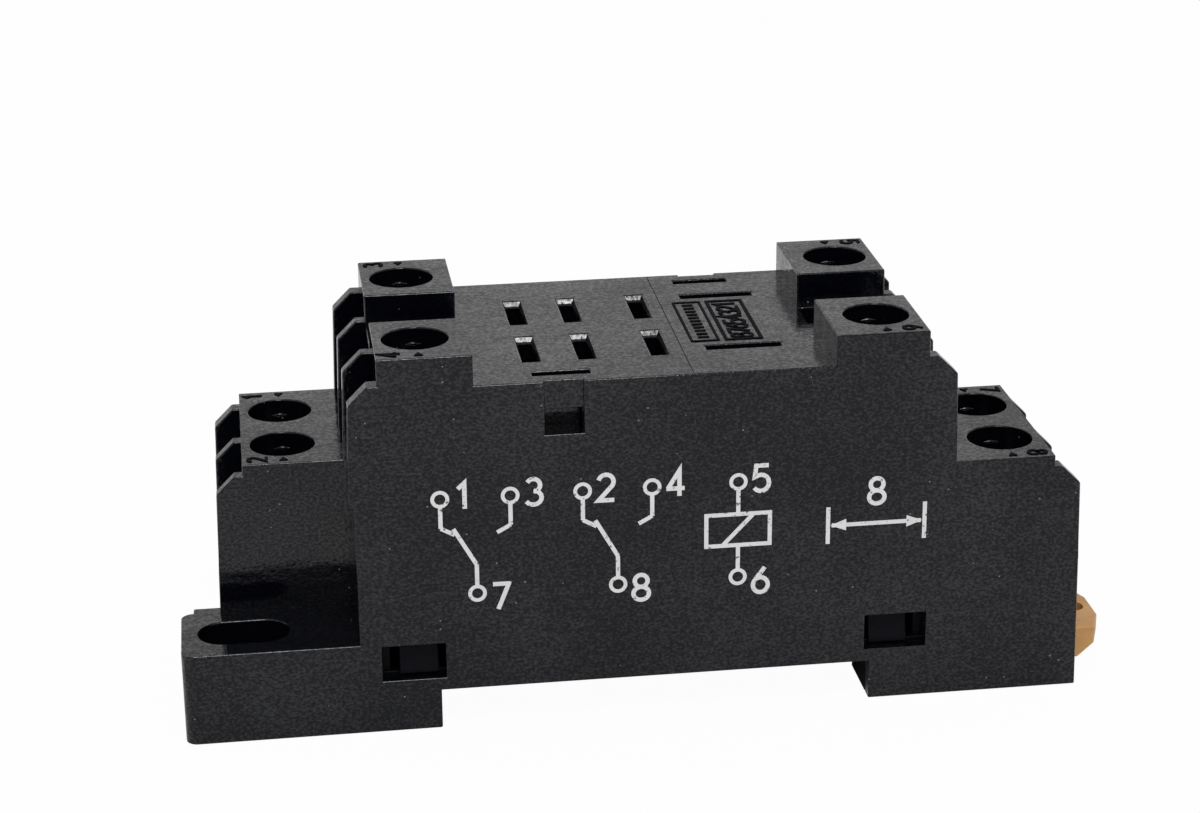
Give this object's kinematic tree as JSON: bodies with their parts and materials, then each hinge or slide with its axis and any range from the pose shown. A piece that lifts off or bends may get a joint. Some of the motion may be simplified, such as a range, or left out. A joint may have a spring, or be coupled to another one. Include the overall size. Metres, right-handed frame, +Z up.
{
  "type": "relay socket",
  "caption": "Black two-tier plug-in relay socket for a 35 mm rail, with finger-safe screw terminals, diagonal mounting lugs and a tan rail clip.",
  "frame": {"origin": "middle of the footprint, in the plane of the feet", "axes": "+X along the socket towards the rail clip, +Y to the face away from terminals 4, 6 and 8, +Z up to the relay"},
  "size_m": [0.0777, 0.0254, 0.032],
  "materials": {
    "housing_black": "black moulded thermoplastic, semi-gloss with a fine grain",
    "cover_black": "black moulded thermoplastic",
    "clip_tan": "tan acetal, slightly waxy",
    "strip_brass": "nickel-plated brass",
    "contact_bronze": "spring bronze",
    "clamp_steel": "zinc-plated steel",
    "screw_steel": "nickel-plated steel"
  },
  "bodies": {
    "base": {"housing": "housing_black", "bottom_cover": "cover_black", "terminal_1": "strip_brass", "terminal_2": "strip_brass", "terminal_3": "strip_brass", "terminal_4": "strip_brass", "terminal_5": "strip_brass", "terminal_6": "strip_brass", "terminal_7": "strip_brass", "terminal_8": "strip_brass", "contact_1": "contact_bronze", "contact_2": "contact_bronze", "contact_3": "contact_bronze", "contact_4": "contact_bronze", "contact_5": "contact_bronze", "contact_6": "contact_bronze", "contact_7": "contact_bronze", "contact_8": "contact_bronze"},
    "clip": {"rail_clip": "clip_tan"},
    "clamp_1": {"clamp_1": "clamp_steel"},
    "screw_1": {"screw_1": "screw_steel"},
    "clamp_2": {"clamp_2": "clamp_steel"},
    "screw_2": {"screw_2": "screw_steel"},
    "clamp_3": {"clamp_3": "clamp_steel"},
    "screw_3": {"screw_3": "screw_steel"},
    "clamp_4": {"clamp_4": "clamp_steel"},
    "screw_4": {"screw_4": "screw_steel"},
    "clamp_5": {"clamp_5": "clamp_steel"},
    "screw_5": {"screw_5": "screw_steel"},
    "clamp_6": {"clamp_6": "clamp_steel"},
    "screw_6": {"screw_6": "screw_steel"},
    "clamp_7": {"clamp_7": "clamp_steel"},
    "screw_7": {"screw_7": "screw_steel"},
    "clamp_8": {"clamp_8": "clamp_steel"},
    "screw_8": {"screw_8": "screw_steel"}
  },
  "joints": [
    {"name": "rail_clip_slide", "type": "slide", "parent": "base", "child": "clip", "axis": [1, 0, 0], "range_m": [0, 0.003], "stiffness_N_per_m": 1500, "springref_m": -0.001},
    {"name": "clamp_1_lift", "type": "slide", "parent": "base", "child": "clamp_1", "axis": [0, 0, 1], "range_m": [0, 0.00175]},
    {"name": "screw_1_turn", "type": "hinge", "parent": "clamp_1", "child": "screw_1", "pos_m": [-0.0294, 0.0079, 0.0125], "axis": [0, 0, 1], "range_deg": [0, 1260]},
    {"name": "clamp_2_lift", "type": "slide", "parent": "base", "child": "clamp_2", "axis": [0, 0, 1], "range_m": [0, 0.00175]},
    {"name": "screw_2_turn", "type": "hinge", "parent": "clamp_2", "child": "screw_2", "pos_m": [-0.0294, 0, 0.0125], "axis": [0, 0, 1], "range_deg": [0, 1260]},
    {"name": "clamp_3_lift", "type": "slide", "parent": "base", "child": "clamp_3", "axis": [0, 0, 1], "range_m": [0, 0.00175]},
    {"name": "screw_3_turn", "type": "hinge", "parent": "clamp_3", "child": "screw_3", "pos_m": [-0.01865, 0.0079, 0.02385], "axis": [0, 0, 1], "range_deg": [0, 1260]},
    {"name": "clamp_4_lift", "type": "slide", "parent": "base", "child": "clamp_4", "axis": [0, 0, 1], "range_m": [0, 0.00175]},
    {"name": "screw_4_turn", "type": "hinge", "parent": "clamp_4", "child": "screw_4", "pos_m": [-0.01865, -0.0079, 0.02385], "axis": [0, 0, 1], "range_deg": [0, 1260]},
    {"name": "clamp_5_lift", "type": "slide", "parent": "base", "child": "clamp_5", "axis": [0, 0, 1], "range_m": [0, 0.00175]},
    {"name": "screw_5_turn", "type": "hinge", "parent": "clamp_5", "child": "screw_5", "pos_m": [0.01865, 0.0079, 0.02385], "axis": [0, 0, 1], "range_deg": [0, 1260]},
    {"name": "clamp_6_lift", "type": "slide", "parent": "base", "child": "clamp_6", "axis": [0, 0, 1], "range_m": [0, 0.00175]},
    {"name": "screw_6_turn", "type": "hinge", "parent": "clamp_6", "child": "screw_6", "pos_m": [0.01865, -0.0079, 0.02385], "axis": [0, 0, 1], "range_deg": [0, 1260]},
    {"name": "clamp_7_lift", "type": "slide", "parent": "base", "child": "clamp_7", "axis": [0, 0, 1], "range_m": [0, 0.00175]},
    {"name": "screw_7_turn", "type": "hinge", "parent": "clamp_7", "child": "screw_7", "pos_m": [0.0294, 0, 0.0125], "axis": [0, 0, 1], "range_deg": [0, 1260]},
    {"name": "clamp_8_lift", "type": "slide", "parent": "base", "child": "clamp_8", "axis": [0, 0, 1], "range_m": [0, 0.00175]},
    {"name": "screw_8_turn", "type": "hinge", "parent": "clamp_8", "child": "screw_8", "pos_m": [0.0294, -0.0079, 0.0125], "axis": [0, 0, 1], "range_deg": [0, 1260]}
  ],
  "couplings": [
    {"joint": "screw_1_turn", "follows": "clamp_1_lift", "rad_per_m": 12566},
    {"joint": "screw_2_turn", "follows": "clamp_2_lift", "rad_per_m": 12566},
    {"joint": "screw_3_turn", "follows": "clamp_3_lift", "rad_per_m": 12566},
    {"joint": "screw_4_turn", "follows": "clamp_4_lift", "rad_per_m": 12566},
    {"joint": "screw_5_turn", "follows": "clamp_5_lift", "rad_per_m": 12566},
    {"joint": "screw_6_turn", "follows": "clamp_6_lift", "rad_per_m": 12566},
    {"joint": "screw_7_turn", "follows": "clamp_7_lift", "rad_per_m": 12566},
    {"joint": "screw_8_turn", "follows": "clamp_8_lift", "rad_per_m": 12566}
  ]
}
